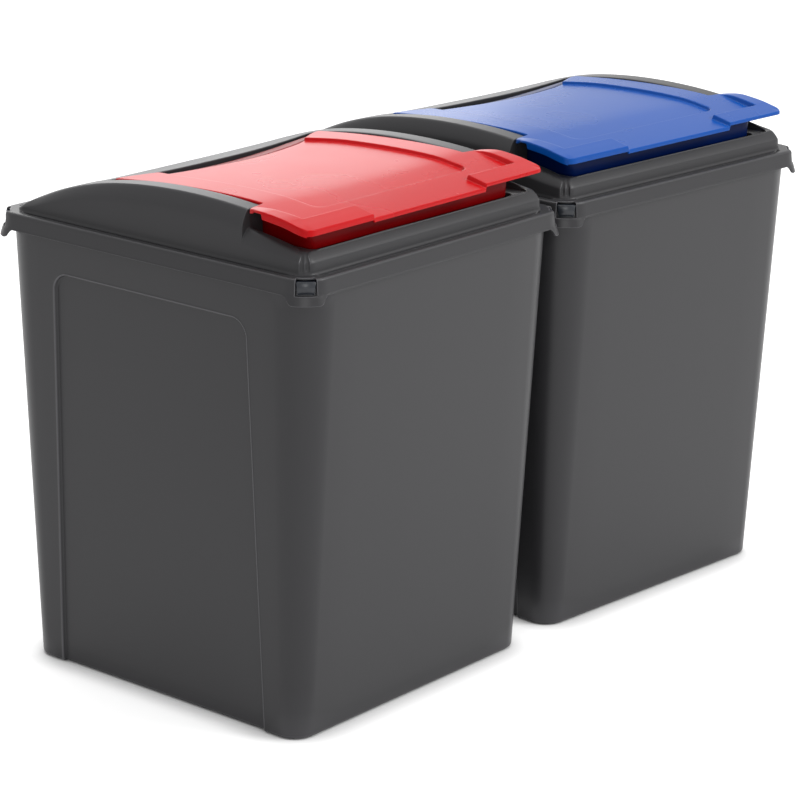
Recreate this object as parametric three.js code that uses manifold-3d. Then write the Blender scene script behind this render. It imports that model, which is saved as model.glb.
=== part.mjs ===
// Two identical flap-lid recycling bins side by side, one with a red flap and one with a blue flap,
// the blue one turned a little.
// Each bin is three mouldings: a tapered tub, a lid frame that drops over its rim, and a hinged flap.
// Millimetres, +Z up. The fronts face -Y and the row runs along X. The origin is on the floor, at the
// middle of the pair's footprint. Every function below works in one bin's own frame, whose origin is
// on the floor below the middle of its tub.

import * as THREE from 'three';
import { mergeVertices } from 'three/addons/utils/BufferGeometryUtils.js';
import Module from 'manifold-3d';

const wasm = await Module();
wasm.setup();

// ---------------------------------------------------------------- driving dimensions

// The pair. These two places put the middle of the pair's bounding box on the origin.
const RED_AT = { x: -206.97, y: 8, turn: 0 };
const BLUE_AT = { x: 195.03, y: 0, turn: -4 }; // turned 4 degrees clockwise, seen from above

// Tub: a rounded rectangle that widens upwards
const TUB_BASE = { halfX: 169.6, halfY: 173.9, radius: 23 };
const TUB_TOP = { halfX: 186.7, halfY: 195.7, radius: 41 };
const TUB_HEIGHT = 445.6;
const TUB_WALL = 2.8;
const FOOT_RING = 12; // width of the ring that it stands on
const FOOT_LIFT = 3; // the floor inside the ring is this far off the ground

// Recessed panel on each side face of the tub, open at the foot
const PANEL_DEPTH = 3;
const PANEL_HALF_FOOT = 132;
const PANEL_HALF_TOP = 121;
const PANEL_TOP = 400;
const PANEL_RADIUS = 17;

// Lid frame: skirt band, flat flange with a groove, and the dome
const LID_WALL = 2.2;
const SKIRT = { halfX: 191, halfY: 200, radius: 28 };
const SKIRT_BOTTOM = 434;
const FLANGE_TOP = 450;
const FLANGE_UNDER = 446;
const SKIRT_DRAFT = 2;
const GROOVE_WIDTH = 6;
const GROOVE_DEPTH = 2.2;
const GROOVE_GAP = 2; // flat strip between the dome's foot and the groove
const GROOVE_HALF_LENGTH = 148;
const DOME_FOOT = { halfX: 176, halfY: 184.5, radius: 27 };
const DOME_DRAFT = 4.8; // inward lean of the dome's walls over DOME_DRAFT_RISE
const DOME_DRAFT_RISE = 56;

// Rails: the arched sides of the dome, cut off square towards the front
const RAIL_PEAK = 500.5;
const RAIL_PEAK_Y = -35;
const RAIL_FALL_2 = 6.64e-4; // fall from the peak, mm per mm squared
const RAIL_FALL_4 = 8.11e-9; // and per mm to the fourth, which steepens the back
const RAIL_END_Y = -107;
const SCOOP_DEPTH = 4.5; // the back between the rails is this much lower
const SCOOP_SIDE = [95, 140]; // over these distances from the middle it rises to the rails
const SCOOP_BACK = [98, 150]; // and over these it dies away behind the opening

// Low front of the dome, in front of the rails
const CREST_FRONT = 469;
const CREST_RISE = 11; // it climbs this much back to the rails
const CREST_INNER = { halfX: 162, frontY: -176, radius: 16 };
const RECESS_FLOOR = 466.5;

// Opening in the lid frame
const OPENING = { halfX: 146, frontY: -168.5, rearY: 89, radius: 8 };
const OPENING_WALL_BOTTOM = 477;

// Corner clip: an ear on the skirt with a window, and a lug on the tub that sits in it
const EAR_DROP = 8;
const EAR_FLARE = 2.5;
const WINDOW_BOTTOM = 434.5;
const WINDOW_HALF_BOTTOM = 8.85;
const WINDOW_HALF_TOP = 10.35;
const WINDOW_REACH = 7; // how far the window cuts in from the skirt's face
const LUG_CLEARANCE = 0.9; // each side, in the window
const LUG_ROOT = 8; // from the corner's arc centre, along the diagonal
const LUG_TONGUE = 21.8;
const LUG_FACE = 25;
const LUG_TOP = 447.3;

// Flap: a shallow tray upside down, with a lip and two raised finger pads at its front corners
const FLAP_PEAK = 499.7;
const FLAP_PEAK_Y = -62;
const FLAP_ARCH = 2400; // twice the arch's radius
const FLAP_HALF = 144.5;
const FLAP_FRONT_Y = -184;
const FLAP_PLATE = 3;
const FLAP_LIP = 5.5; // depth of the front edge
const TAB_LIP = 7.5; // depth of the finger pads' outer edge
const REAR_ARC_Y = 43; // the rear edge is an arc, hollow side to the back
const REAR_ARC_RADIUS = 294;
const APRON_Y = 84; // behind the arc a dipped apron closes the gap to the frame
const APRON_Z = 479.5;
const APRON_HALF = 136; // outside this it is only a narrow edge
const RISER_X = 110.5; // the side borders stand above the middle by PANEL_SINK
const PANEL_SINK = 3.5;
const BORDER_END = [-122, -104]; // where the borders run out into the front
const STEP_HALF = 1.5; // half the width of the slope at each step in the top
const PANEL_FALL = { depth: 4.7, fromY: -115 }; // extra fall of the front edge below the arch
const PAD_FALL = { depth: 3, fromY: -140 };
const PAD_RISE = 0.5; // the pads stand this much above the arch
const PAD_START_Y = -111;
const PAD_INNER_X = 150;
const PAD_BAR_Y = -156;
const PAD_END_X = 80;
const TAB_START_Y = -108.5;
const TAB_HALF = 173;
const TAB_CORNER = 12;
const TAB_SHOULDER = 14; // the tabs are this much narrower at the back
const TAB_FULL_Y = -146; // and have their full width from here on
const TRAY_FRONT_Y = -165;
const TRAY_REAR_Y = 79;
const TRAY_WALL = 2.2;
const TRAY_RADIUS = 12;
const TRAY_BOTTOM_FRONT = 463;
const TRAY_BOTTOM_REAR = 476;

// Hinge pins, one moulded on each side wall of the flap, in a hole of the rail's inner wall
const HINGE_Y = 76;
const HINGE_Z = 484.5;
const PIN_RADIUS = 3;
const PIN_HOLE_RADIUS = 3.4;
const PIN_REACH = 149.5;

// ---------------------------------------------------------------- solids

const CORNER_STEPS = 8;
const OVERCUT = 20; // how far a cutter runs past what it cuts

function toSolid(geometry) {
  geometry.deleteAttribute('normal');
  geometry.deleteAttribute('uv');
  const merged = mergeVertices(geometry, 1e-4);
  const vertProperties = new Float32Array(merged.attributes.position.array);
  const triVerts = new Uint32Array(merged.index.array);
  return new wasm.Manifold(new wasm.Mesh({ numProp: 3, vertProperties, triVerts }));
}

function toGeometry(solid) {
  const mesh = solid.getMesh();
  const geometry = new THREE.BufferGeometry();
  geometry.setAttribute('position', new THREE.BufferAttribute(mesh.vertProperties, 3));
  geometry.setIndex(new THREE.BufferAttribute(mesh.triVerts, 1));
  geometry.computeVertexNormals();
  return geometry;
}

function meshSolid(points, triangles) {
  const geometry = new THREE.BufferGeometry().setFromPoints(points);
  geometry.setIndex(triangles);
  return toSolid(geometry);
}

// Rings run anticlockwise seen from above, the lowest ring first; the two ends are closed flat.
function loft(rings) {
  const count = rings[0].length;
  const triangles = [];
  for (let r = 0; r + 1 < rings.length; r++) {
    for (let i = 0; i < count; i++) {
      const j = (i + 1) % count;
      const [a, b, c, d] = [r * count + i, r * count + j, (r + 1) * count + j, (r + 1) * count + i];
      triangles.push(a, b, c, a, c, d);
    }
  }
  const outline = rings[0].map((p) => new THREE.Vector2(p.x, p.y));
  const top = (rings.length - 1) * count;
  for (const [a, b, c] of THREE.ShapeUtils.triangulateShape(outline, [])) {
    triangles.push(a, c, b);
    triangles.push(top + a, top + b, top + c);
  }
  return meshSolid(rings.flat(), triangles);
}

const ringAt = (outline, z) => outline.map((p) => new THREE.Vector3(p.x, p.y, z));
const prism = (outline, z0, z1) => loft([ringAt(outline, z0), ringAt(outline, z1)]);

// A solid between two height functions, on a grid of xs and ys.
function heightSolid(xs, ys, height, bottom) {
  const nx = xs.length;
  const ny = ys.length;
  const points = [];
  for (const layer of [height, bottom]) {
    for (const y of ys) points.push(...xs.map((x) => new THREE.Vector3(x, y, layer(x, y))));
  }
  return meshSolid(points, gridTriangles(nx, ny));
}

// Triangles of a closed slab: nx by ny points on top, then the same below.
function gridTriangles(nx, ny) {
  const triangles = [];
  const at = (i, j, low) => (low ? nx * ny : 0) + j * nx + i;
  const quad = (a, b, c, d) => triangles.push(a, b, c, a, c, d);
  for (let j = 0; j + 1 < ny; j++) {
    for (let i = 0; i + 1 < nx; i++) {
      quad(at(i, j), at(i + 1, j), at(i + 1, j + 1), at(i, j + 1));
      quad(at(i, j, 1), at(i, j + 1, 1), at(i + 1, j + 1, 1), at(i + 1, j, 1));
    }
    quad(at(0, j), at(0, j + 1), at(0, j + 1, 1), at(0, j, 1));
    quad(at(nx - 1, j), at(nx - 1, j, 1), at(nx - 1, j + 1, 1), at(nx - 1, j + 1));
  }
  for (let i = 0; i + 1 < nx; i++) {
    quad(at(i, 0), at(i, 0, 1), at(i + 1, 0, 1), at(i + 1, 0));
    quad(at(i, ny - 1), at(i + 1, ny - 1), at(i + 1, ny - 1, 1), at(i, ny - 1, 1));
  }
  return triangles;
}

// ---------------------------------------------------------------- outlines

// Anticlockwise from the front-right corner; each corner has its own radius.
function roundedRect(x0, x1, y0, y1, radii) {
  const [frontRight, rearRight, rearLeft, frontLeft] = radii;
  const corners = [
    [x1 - frontRight, y0 + frontRight, frontRight, -90],
    [x1 - rearRight, y1 - rearRight, rearRight, 0],
    [x0 + rearLeft, y1 - rearLeft, rearLeft, 90],
    [x0 + frontLeft, y0 + frontLeft, frontLeft, 180],
  ];
  const outline = [];
  for (const [cx, cy, radius, start] of corners) {
    for (let k = 0; k <= CORNER_STEPS; k++) {
      const angle = THREE.MathUtils.degToRad(start + (90 * k) / CORNER_STEPS);
      outline.push(new THREE.Vector2(cx + radius * Math.cos(angle), cy + radius * Math.sin(angle)));
    }
  }
  return outline;
}

function band({ halfX, halfY, radius }, grow = 0) {
  const r = radius + grow;
  return roundedRect(-halfX - grow, halfX + grow, -halfY - grow, halfY + grow, [r, r, r, r]);
}

const blend = (a, b, t) => a + (b - a) * t;
const smooth = (x, from, to) => THREE.MathUtils.smoothstep((x - from) / (to - from), 0, 1);

// The signs of x and y at the four corners.
const corners = [[-1, -1], [1, -1], [1, 1], [-1, 1]];

// Centre of the skirt's arc at the corner with these signs of x and y.
function arcCentre(corner) {
  return new THREE.Vector2(SKIRT.halfX - SKIRT.radius, SKIRT.halfY - SKIRT.radius).multiply(corner);
}

// An outline given along the corner's diagonal (out) and across it (side), turned to that corner.
function atCorner(signs, outline) {
  const corner = new THREE.Vector2(...signs);
  const centre = arcCentre(corner);
  const out = corner.normalize();
  const side = new THREE.Vector2(-out.y, out.x);
  return outline.map(([o, s]) => centre.clone().addScaledVector(out, o).addScaledVector(side, s));
}

// ---------------------------------------------------------------- tub

function tubRing(z, inset) {
  const t = z / TUB_HEIGHT;
  const size = {};
  for (const key of Object.keys(TUB_BASE)) size[key] = blend(TUB_BASE[key], TUB_TOP[key], t);
  return ringAt(band(size, -inset), z);
}

// The block that recesses one side face: its inner face follows the tub's taper at the given depth.
function panelBlock(side, depth, grow) {
  const foot = -OVERCUT;
  const top = PANEL_TOP + grow;
  const slope = (PANEL_HALF_FOOT - PANEL_HALF_TOP) / PANEL_TOP;
  const halfAt = (z) => PANEL_HALF_FOOT - slope * z + grow;
  const outline = [new THREE.Vector2(-halfAt(foot), foot), new THREE.Vector2(halfAt(foot), foot)];
  for (const turn of [0, 1]) {
    for (let k = 0; k <= CORNER_STEPS; k++) {
      const angle = (Math.PI / 2) * (turn + k / CORNER_STEPS);
      const centre = (turn ? -1 : 1) * (halfAt(top) - PANEL_RADIUS);
      const y = centre + PANEL_RADIUS * Math.cos(angle);
      outline.push(new THREE.Vector2(y, top - PANEL_RADIUS + PANEL_RADIUS * Math.sin(angle)));
    }
  }
  const faceX = (z) => blend(TUB_BASE.halfX, TUB_TOP.halfX, z / TUB_HEIGHT) - depth;
  const inner = outline.map((p) => new THREE.Vector3(side * faceX(p.y), p.x, p.y));
  const outer = outline.map((p) => new THREE.Vector3(side * (faceX(p.y) + OVERCUT), p.x, p.y));
  const count = outline.length;
  const triangles = [];
  for (let i = 0; i < count; i++) {
    const j = (i + 1) % count;
    triangles.push(i, j, count + j, i, count + j, count + i);
  }
  for (const [a, b, c] of THREE.ShapeUtils.triangulateShape(outline, [])) {
    triangles.push(a, c, b, count + a, count + b, count + c);
  }
  return meshSolid([...inner, ...outer], side > 0 ? triangles : flip(triangles));
}

function flip(triangles) {
  const flipped = [];
  for (let i = 0; i < triangles.length; i += 3) {
    flipped.push(triangles[i], triangles[i + 2], triangles[i + 1]);
  }
  return flipped;
}

// A lug fills the tub's corner out to LUG_FACE; only its outer tongue rises into the window.
function lug(corner) {
  const lugBottom = WINDOW_BOTTOM + 0.5;
  const root = cornerBlock(corner, LUG_ROOT, LUG_FACE, LUG_CLEARANCE, lugBottom, TUB_HEIGHT);
  return root.add(cornerBlock(corner, LUG_TONGUE, LUG_FACE, LUG_CLEARANCE, lugBottom, LUG_TOP));
}

function tub() {
  let outside = loft([tubRing(0, 0), tubRing(TUB_HEIGHT, 0)]);
  let inside = loft([tubRing(FOOT_LIFT + TUB_WALL, TUB_WALL), tubRing(TUB_HEIGHT + OVERCUT, TUB_WALL)]);
  for (const side of [-1, 1]) {
    outside = outside.subtract(panelBlock(side, PANEL_DEPTH, 0));
    inside = inside.subtract(panelBlock(side, PANEL_DEPTH + TUB_WALL, TUB_WALL));
  }
  for (const corner of corners) outside = outside.add(lug(corner));
  const underside = prism(band(TUB_BASE, -FOOT_RING), -OVERCUT, FOOT_LIFT);
  return outside.subtract(inside).subtract(underside);
}

// ---------------------------------------------------------------- lid frame

function railTop(y) {
  const u = y - RAIL_PEAK_Y;
  return RAIL_PEAK - RAIL_FALL_2 * u ** 2 - RAIL_FALL_4 * u ** 4;
}

function domeTop(x, y) {
  const middle = 1 - smooth(Math.abs(x), ...SCOOP_SIDE);
  const nearOpening = 1 - smooth(y, ...SCOOP_BACK);
  return railTop(y) - SCOOP_DEPTH * middle * nearOpening;
}

function crestTop(x, y) {
  const t = THREE.MathUtils.clamp((y - CREST_INNER.frontY) / (RAIL_END_Y - CREST_INNER.frontY), 0, 1);
  return CREST_FRONT + (CREST_RISE * (t + t * t)) / 2;
}

// The dome as a filled body; inset shrinks it on every side for the hollow under the wall.
function dome(inset) {
  const foot = band(DOME_FOOT, -inset);
  const leaned = band(DOME_FOOT, -inset - DOME_DRAFT);
  const walls = loft([
    ringAt(foot, inset ? SKIRT_BOTTOM : FLANGE_UNDER + 1),
    ringAt(foot, FLANGE_TOP),
    ringAt(leaned, FLANGE_TOP + DOME_DRAFT_RISE),
  ]);
  const xs = [-200, -140, -118, -95, -45, 0, 45, 95, 118, 140, 200];
  const railYs = [RAIL_END_Y + inset, -85, -60, -35, -10, 15, 40, 65, 82, 98, 112, 126, 140, 155, 170, 200];
  const crestYs = [-200, -176, -160, -145, -130, -118, RAIL_END_Y + inset + 1];
  const bottom = () => SKIRT_BOTTOM - OVERCUT;
  const rails = heightSolid(xs, railYs, (x, y) => domeTop(x, y) - inset, bottom);
  const front = heightSolid([-200, 200], crestYs, (x, y) => crestTop(x, y) - inset, bottom);
  return walls.intersect(rails.add(front));
}

function openingOutline(grow) {
  const { halfX, frontY, rearY, radius } = OPENING;
  const r = radius + grow;
  return roundedRect(-halfX - grow, halfX + grow, frontY - grow, rearY + grow, [r, r, r, r]);
}

// The recess behind the front crest, which leaves the fingers room under the flap's lip.
function recessOutline(grow) {
  const { halfX, frontY, radius } = CREST_INNER;
  const r = radius + grow;
  return roundedRect(-halfX - grow, halfX + grow, frontY - grow, RAIL_END_Y + grow, [r, 1, 1, r]);
}

// Skirt band with an ear below each corner: the ears follow the corner arcs and flare outwards.
function skirt(grow, bottomDrop) {
  const foot = band(SKIRT, grow);
  const perCorner = CORNER_STEPS + 1;
  const low = foot.map((p, index) => {
    const step = index % perCorner;
    const corner = new THREE.Vector2(Math.sign(p.x), Math.sign(p.y));
    const centre = arcCentre(corner);
    const full = step > 1 && step < CORNER_STEPS - 1;
    const drop = step === 0 || step === CORNER_STEPS ? 0 : full ? 1 : 0.85;
    const out = p.clone().sub(centre).normalize().multiplyScalar(EAR_FLARE * drop);
    return new THREE.Vector3(p.x + out.x, p.y + out.y, SKIRT_BOTTOM - 0.3 - EAR_DROP * drop - bottomDrop);
  });
  return [low, ringAt(foot, SKIRT_BOTTOM + 2)];
}

function groove(x0, x1, y0, y1) {
  const r = GROOVE_WIDTH / 2;
  const bottom = FLANGE_TOP - GROOVE_DEPTH;
  return prism(roundedRect(x0, x1, y0, y1, [r, r, r, r]), bottom, bottom + OVERCUT);
}

// Half the window's width, which grows upwards.
function windowHalf(z) {
  return blend(WINDOW_HALF_BOTTOM, WINDOW_HALF_TOP, (z - WINDOW_BOTTOM) / (FLANGE_TOP - WINDOW_BOTTOM));
}

// A block at one corner between two distances outwards, as wide as the window less a clearance each side.
function cornerBlock(corner, out0, out1, clearance, z0, z1) {
  const ring = (z) => {
    const half = windowHalf(z) - clearance;
    return ringAt(atCorner(corner, [[out0, half], [out0, -half], [out1, -half], [out1, half]]), z);
  };
  return loft([ring(z0), ring(z1)]);
}

function cornerWindow(corner) {
  const out0 = SKIRT.radius - WINDOW_REACH;
  return cornerBlock(corner, out0, SKIRT.radius + OVERCUT, 0, WINDOW_BOTTOM, FLANGE_TOP + OVERCUT);
}

function pinCylinder(radius, x0, x1) {
  const cylinder = new THREE.CylinderGeometry(radius, radius, x1 - x0, 24);
  cylinder.rotateZ(-Math.PI / 2);
  cylinder.translate((x0 + x1) / 2, HINGE_Y, HINGE_Z);
  return toSolid(cylinder);
}

function lidFrame() {
  const skirtOut = loft([...skirt(0, 0), ringAt(band(SKIRT, -SKIRT_DRAFT), FLANGE_TOP)]);
  const underFlange = band(SKIRT, -LID_WALL - SKIRT_DRAFT * 0.75);
  const skirtIn = loft([...skirt(-LID_WALL, OVERCUT), ringAt(underFlange, FLANGE_UNDER)]);
  const filled = dome(0);
  let frame = skirtOut.add(filled).subtract(skirtIn).subtract(dome(LID_WALL));

  const above = RAIL_PEAK + OVERCUT;
  const openingCut = prism(openingOutline(0), SKIRT_BOTTOM, above);
  const recessCut = prism(recessOutline(0), RECESS_FLOOR, above);
  const floorUnder = RECESS_FLOOR - LID_WALL;
  const recessShell = prism(recessOutline(LID_WALL), floorUnder, above).intersect(filled);
  const openingShell = prism(openingOutline(LID_WALL), OPENING_WALL_BOTTOM, above).intersect(filled);
  frame = frame.add(recessShell).subtract(recessCut);
  frame = frame.add(openingShell.subtract(recessCut)).subtract(openingCut);

  const end = GROOVE_HALF_LENGTH;
  const grooveX = DOME_FOOT.halfX + GROOVE_GAP;
  const grooveY = DOME_FOOT.halfY + GROOVE_GAP;
  frame = frame.subtract(groove(-grooveX - GROOVE_WIDTH, -grooveX, -end, end));
  frame = frame.subtract(groove(grooveX, grooveX + GROOVE_WIDTH, -end, end));
  frame = frame.subtract(groove(-end, end, -grooveY - GROOVE_WIDTH, -grooveY));
  frame = frame.subtract(groove(-end, end, grooveY, grooveY + GROOVE_WIDTH));
  for (const corner of corners) frame = frame.subtract(cornerWindow(corner));
  const [holeStart, holeEnd] = [OPENING.halfX - 1, OPENING.halfX + LID_WALL + 1];
  frame = frame.subtract(pinCylinder(PIN_HOLE_RADIUS, -holeEnd, -holeStart));
  return frame.subtract(pinCylinder(PIN_HOLE_RADIUS, holeStart, holeEnd));
}

// ---------------------------------------------------------------- flap

const flapArch = (y) => FLAP_PEAK - (y - FLAP_PEAK_Y) ** 2 / FLAP_ARCH;
const rearArc = (x) => REAR_ARC_Y + REAR_ARC_RADIUS - Math.sqrt(REAR_ARC_RADIUS ** 2 - x ** 2);

function frontFall({ depth, fromY }, y) {
  return depth * THREE.MathUtils.clamp((fromY - y) / (fromY - FLAP_FRONT_Y), 0, 1) ** 2;
}

function flapTop(x, y) {
  const ax = Math.abs(x);
  const onPad = (ax > PAD_INNER_X && y < PAD_START_Y) || (ax > PAD_END_X && y < PAD_BAR_Y);
  if (onPad) return flapArch(y) + PAD_RISE - frontFall(PAD_FALL, y);
  const sunk = flapArch(y) - PANEL_SINK - frontFall(PANEL_FALL, y);
  if (ax < RISER_X) return sunk;
  return blend(sunk, flapArch(y), smooth(y, ...BORDER_END));
}

// Half width of the flap at y: parallel between the rails, with a finger tab at each front corner.
function flapHalf(y) {
  if (y > TAB_START_Y + 0.5) return FLAP_HALF;
  const shoulder = TAB_SHOULDER * smooth(y, TAB_FULL_Y, TAB_START_Y);
  const intoCorner = Math.max(FLAP_FRONT_Y + TAB_CORNER - y, 0);
  const corner = TAB_CORNER - Math.sqrt(Math.max(TAB_CORNER ** 2 - intoCorner ** 2, 0));
  return TAB_HALF - shoulder - corner;
}

// Columns of the flap's grid: straight lines at the steps, and the outer ones spread over the tabs.
function flapColumns(y) {
  const half = flapHalf(y);
  const tab = half > FLAP_HALF;
  const step = (x) => [x - STEP_HALF, x + STEP_HALF];
  const onTab = [...step(PAD_INNER_X), blend(PAD_INNER_X + STEP_HALF, half, 0.7), half];
  const outer = tab ? onTab : [133, 138, 141.5, half];
  const right = [38, ...step(PAD_END_X), ...step(RISER_X), 126, ...outer];
  return [...right.map((x) => -x).reverse(), 0, ...right];
}

// Rows of the flap's grid: two for the apron behind the arched rear edge, then straight ones to the front.
function flapRows() {
  const apronEnd = (x) => Math.min(APRON_Y, rearArc(x) + 1.5 + Math.max(APRON_HALF - Math.abs(x), 0));
  const rearColumns = flapColumns(0);
  const apron = [apronEnd, rearArc, (x) => blend(rearArc(x), 25, 0.5)];
  const straight = [25, 0, -25, -50, -75, -95, -104, -107, TAB_START_Y, -110, -112, -120, -128, -137, -146];
  const front = [PAD_BAR_Y + STEP_HALF, PAD_BAR_Y - STEP_HALF, -166, -173, -178, -182, FLAP_FRONT_Y + 0.02];
  return [
    ...apron.map((edge) => rearColumns.map((x) => [x, edge(x)])),
    ...[...straight, ...front].map((y) => flapColumns(y).map((x) => [x, y])),
  ];
}

// A body whose upper face is the flap's, moved down by 'lower', and whose lower face is given by underAt.
function flapSolid(lower, underAt) {
  const rows = flapRows();
  const apronTop = (x, y) => {
    const ridge = flapTop(x, rearArc(x));
    return ridge - ((ridge - APRON_Z) * (y - rearArc(x))) / (APRON_Y - REAR_ARC_Y);
  };
  const topAt = (x, y, row) => (row === 0 ? apronTop(x, y) : flapTop(x, y)) - lower;
  const points = [];
  for (const under of [false, true]) {
    rows.forEach((row, r) => {
      row.forEach(([x, y], c) => {
        const top = topAt(x, y, r);
        points.push(new THREE.Vector3(x, y, under ? underAt(top, r, c, rows) : top));
      });
    });
  }
  return meshSolid(points, flip(gridTriangles(rows[0].length, rows.length)));
}

// The plate, with its front and side edges turned down into a lip.
function flapPlate() {
  const underAt = (top, r, c, rows) => {
    const y = rows[r][0][1];
    const onSide = c === 0 || c === rows[0].length - 1;
    const onTab = onSide && y < -125 && y > -176;
    if (onTab) return top - TAB_LIP;
    return top - (onSide || r >= rows.length - 3 ? FLAP_LIP : FLAP_PLATE);
  };
  return flapSolid(0, underAt);
}

// The tray's wall below the plate: down both sides and across the front, shallower towards the hinge.
function trayWall() {
  const x = FLAP_HALF - 0.3;
  const r = TRAY_RADIUS;
  const w = TRAY_WALL;
  const outer = roundedRect(-x, x, TRAY_FRONT_Y, TRAY_REAR_Y, [r, 1, 1, r]);
  const inner = roundedRect(-x + w, x - w, TRAY_FRONT_Y + w, TRAY_REAR_Y + OVERCUT, [r - w, 1, 1, r - w]);
  const low = SKIRT_BOTTOM;
  const high = RAIL_PEAK + OVERCUT;
  const wall = prism(outer, low, high).subtract(prism(inner, low - OVERCUT, high + OVERCUT));
  const slope = (TRAY_BOTTOM_REAR - TRAY_BOTTOM_FRONT) / (HINGE_Y - TRAY_FRONT_Y);
  const bottomAt = (px, py) => TRAY_BOTTOM_FRONT + slope * (py - TRAY_FRONT_Y);
  const aboveSlope = heightSolid([-200, 200], [-200, 100], () => high, bottomAt);
  return wall.intersect(aboveSlope).intersect(flapSolid(FLAP_PLATE / 2, () => low));
}

function flap() {
  const root = FLAP_HALF - TRAY_WALL;
  return flapPlate()
    .add(trayWall())
    .add(pinCylinder(PIN_RADIUS, -PIN_REACH, -root))
    .add(pinCylinder(PIN_RADIUS, root, PIN_REACH));
}

// ---------------------------------------------------------------- the two bins

const body = new THREE.MeshStandardMaterial({ color: 0x464648, roughness: 0.42, metalness: 0 });
const red = new THREE.MeshStandardMaterial({ color: 0xd8000c, roughness: 0.28, metalness: 0 });
const blue = new THREE.MeshStandardMaterial({ color: 0x0048b8, roughness: 0.28, metalness: 0 });

const shapes = { tub: toGeometry(tub()), lid_frame: toGeometry(lidFrame()), flap: toGeometry(flap()) };

function bin(colourName, flapMaterial, place) {
  const group = new THREE.Group();
  group.position.set(place.x, place.y, 0);
  group.rotation.z = THREE.MathUtils.degToRad(place.turn);
  for (const [piece, geometry] of Object.entries(shapes)) {
    const mesh = new THREE.Mesh(geometry, piece === 'flap' ? flapMaterial : body);
    mesh.name = `${colourName}_bin_${piece}`;
    group.add(mesh);
  }
  return group;
}

const pair = new THREE.Group();
pair.add(bin('red', red, RED_AT));
pair.add(bin('blue', blue, BLUE_AT));

export default pair;
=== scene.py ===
import math

import bpy
import numpy as np
from mathutils import Matrix, Vector


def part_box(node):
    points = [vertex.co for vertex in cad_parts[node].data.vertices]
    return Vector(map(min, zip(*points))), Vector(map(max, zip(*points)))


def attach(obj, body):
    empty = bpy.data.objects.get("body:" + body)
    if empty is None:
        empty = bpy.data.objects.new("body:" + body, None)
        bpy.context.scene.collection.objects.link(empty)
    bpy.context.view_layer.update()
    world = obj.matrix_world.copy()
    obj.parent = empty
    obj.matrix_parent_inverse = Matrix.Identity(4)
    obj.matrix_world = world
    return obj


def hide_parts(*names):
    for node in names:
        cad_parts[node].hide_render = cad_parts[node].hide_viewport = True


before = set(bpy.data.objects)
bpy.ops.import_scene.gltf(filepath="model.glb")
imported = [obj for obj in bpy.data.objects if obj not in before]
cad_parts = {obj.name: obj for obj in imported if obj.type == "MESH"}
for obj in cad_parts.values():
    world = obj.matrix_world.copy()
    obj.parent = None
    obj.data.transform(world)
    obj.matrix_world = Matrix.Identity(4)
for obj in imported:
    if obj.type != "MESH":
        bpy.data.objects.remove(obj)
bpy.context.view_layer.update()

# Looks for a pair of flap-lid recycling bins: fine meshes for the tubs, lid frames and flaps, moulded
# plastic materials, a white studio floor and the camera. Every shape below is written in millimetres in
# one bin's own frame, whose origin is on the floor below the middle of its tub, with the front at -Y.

MM = 0.001
TURN = {"red": 0.0, "blue": -4.0}  # degrees about +Z

# ---------------------------------------------------------------- driving dimensions

# Tub
TUB_BASE = (169.6, 173.9, 23.0)  # half width, half depth, corner radius
TUB_TOP = (186.7, 195.7, 41.0)
TUB_HEIGHT = 445.6
TUB_WALL = 2.6
TUB_EDGE = 4.0  # rounding of the bottom edge
FOOT_RING = 12.0
FOOT_LIFT = 3.0
PANEL_DEPTH = 3.0
PANEL_HALF_FOOT = 132.0
PANEL_HALF_TOP = 121.0
PANEL_TOP = 400.0
PANEL_RADIUS = 17.0
PANEL_SLOPE = 0.8  # half the width of the panel's rounded edge
PANEL_BEAD = 0.35  # a faint ridge along the panel's edge

# Lid frame
LID_WALL = 1.8
SKIRT = (191.0, 200.0, 28.0)
SKIRT_BOTTOM = 434.0
FLANGE_TOP = 450.0
SKIRT_DRAFT = 2.0
DOME_FOOT = (176.0, 184.5, 14.0)
DOME_LEAN = 4.8 / 56.0
EAR_BOTTOM = 426.0
EAR_FLARE = 2.3
EDGE_BEAD = 0.35  # the bottom edge stands out by this much
WINDOW_BOTTOM = 434.7
RAIL_PEAK = 500.3
RAIL_PEAK_Y = -35.0
RAIL_FALL_2 = 6.64e-4  # the rail falls from its peak with the square and the fourth power of the distance
RAIL_FALL_4 = 8.11e-9
STEP_Y = -107.0
SCOOP_DEPTH = 4.5  # the dome dips between the rails, behind the opening
SCOOP_X = (92.0, 140.0)
SCOOP_Y = (98.0, 150.0)
CREST = 469.0
CREST_RISE = 11.0
RECESS_FRONT_Y = -176.0
RECESS_HALF = 162.0
RECESS_RADIUS = 12.0
RECESS_FLOOR = 466.6
OPENING_HALF = 146.0
OPENING_RADIUS = 8.0
OPENING_FRONT_Y = -168.5
OPENING_REAR_Y = 89.0

# Lug of the tub in each corner window, measured along the corner's diagonal from the skirt's arc centre
LUG_BACK = 21.8
LUG_FACE = 25.0
LUG_BOTTOM = 435.0
LUG_TOP = 447.2
LUG_HALF_BOTTOM = 7.9
LUG_HALF_TOP = 9.0
LUG_SOFT = 0.7  # softening of its edges
LUG_TONGUE = 8.0  # how far it reaches in behind its back

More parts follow.
